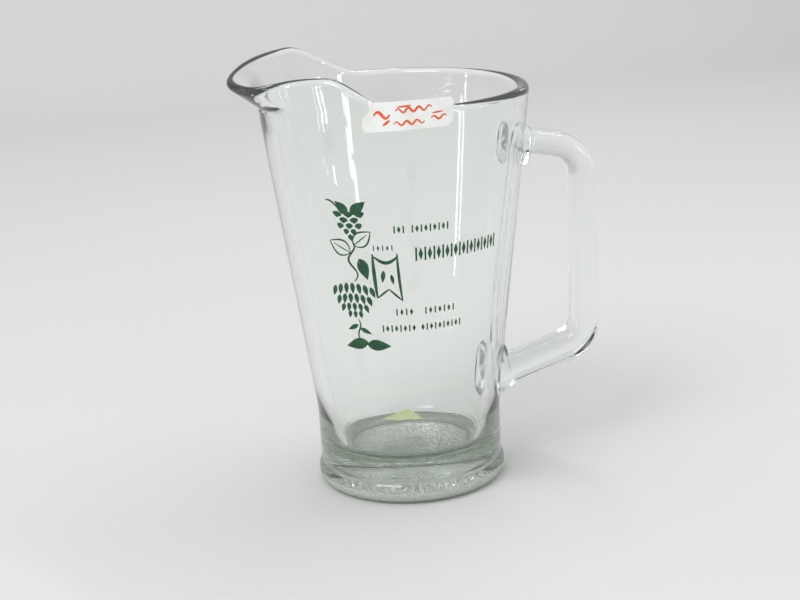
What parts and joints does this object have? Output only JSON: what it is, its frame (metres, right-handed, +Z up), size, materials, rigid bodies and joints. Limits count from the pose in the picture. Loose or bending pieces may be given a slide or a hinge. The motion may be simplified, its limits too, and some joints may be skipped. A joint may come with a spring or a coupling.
{
  "type": "glass serving pitcher",
  "caption": "Heavy clear glass serving pitcher with a rounded rim, pulled beak, thick foot and D-shaped handle, printed front and paper labels.",
  "frame": {"origin": "on the bowl's axis at the height of the surface it stands on", "axes": "+Z up along the bowl's axis, +X towards the handle, -X towards the beak, -Y towards the printed side"},
  "size_m": [0.2027, 0.1483, 0.2406],
  "materials": {
    "clear_glass": "clear, faint sea-green in the thick parts, polished by fire",
    "green_enamel": "thin dark green screen print, slightly worn",
    "label_paper": "white sticky paper, matt",
    "pen_ink": "orange-red pen",
    "pale_paper": "pale yellow-green torn paper"
  },
  "bodies": {
    "root": {"glass_body": "clear_glass", "handle": "clear_glass", "print_sprig": "green_enamel", "print_pennant": "green_enamel", "print_top_row": "green_enamel", "print_title": "green_enamel", "print_small_mark": "green_enamel", "print_upper_row": "green_enamel", "print_lower_row": "green_enamel", "price_label": "label_paper", "label_ink": "pen_ink", "torn_label": "pale_paper"}
  },
  "joints": []
}
